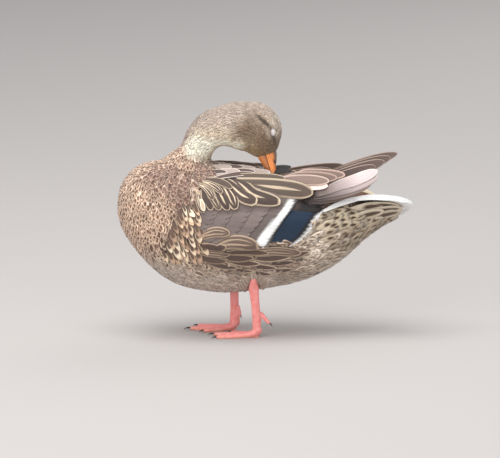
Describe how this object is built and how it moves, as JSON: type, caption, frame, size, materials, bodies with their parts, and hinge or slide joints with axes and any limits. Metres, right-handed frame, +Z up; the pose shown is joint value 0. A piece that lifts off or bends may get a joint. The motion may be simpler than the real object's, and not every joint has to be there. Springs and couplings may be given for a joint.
{
  "type": "duck",
  "caption": "Still, life-size brown dabbling duck hen that stands on both webbed feet and preens, with its head turned back over its left shoulder.",
  "frame": {"origin": "on the floor, under the middle of the bounding box", "axes": "+Z up, the breast faces -Y and the tail +Y, the left side of the bird is +X"},
  "size_m": [0.142, 0.3569, 0.2842],
  "materials": {
    "plumage_body": "matt body feathers with dark centres and buff edges",
    "plumage_head": "matt, finely streaked head and neck feathers",
    "plumage_wing": "matt grey-brown wing feathers with pale edges",
    "speculum": "satin dark blue wing patch between white bars",
    "flight_feathers": "satin grey-brown flight feathers",
    "tail_feathers": "matt brown tail feathers with whitish edges",
    "bill": "satin horn, orange with a dark ridge",
    "eye": "wet and glossy",
    "leg_skin": "scaly coral-orange skin",
    "claw": "satin dark horn"
  },
  "bodies": {
    "root": {"trunk": "plumage_body", "neck_lower": "plumage_head", "neck_middle": "plumage_head", "neck_upper": "plumage_head", "head": "plumage_head", "eye_right": "eye", "eye_left": "eye", "bill_upper": "bill", "bill_lower": "bill", "tail": "tail_feathers", "wing_left_coverts": "plumage_wing", "wing_left_secondaries": "speculum", "scapulars_left": "plumage_wing", "wing_left_tertials": "flight_feathers", "wing_left_primaries": "flight_feathers", "thigh_left": "plumage_body", "tarsus_left": "leg_skin", "foot_left": "leg_skin", "hind_toe_left": "leg_skin", "claw_left_inner": "claw", "claw_left_middle": "claw", "claw_left_outer": "claw", "claw_left_hind": "claw", "wing_right_coverts": "plumage_wing", "wing_right_secondaries": "speculum", "scapulars_right": "plumage_wing", "wing_right_tertials": "flight_feathers", "wing_right_primaries": "flight_feathers", "thigh_right": "plumage_body", "tarsus_right": "leg_skin", "foot_right": "leg_skin", "hind_toe_right": "leg_skin", "claw_right_inner": "claw", "claw_right_middle": "claw", "claw_right_outer": "claw", "claw_right_hind": "claw"}
  },
  "joints": []
}
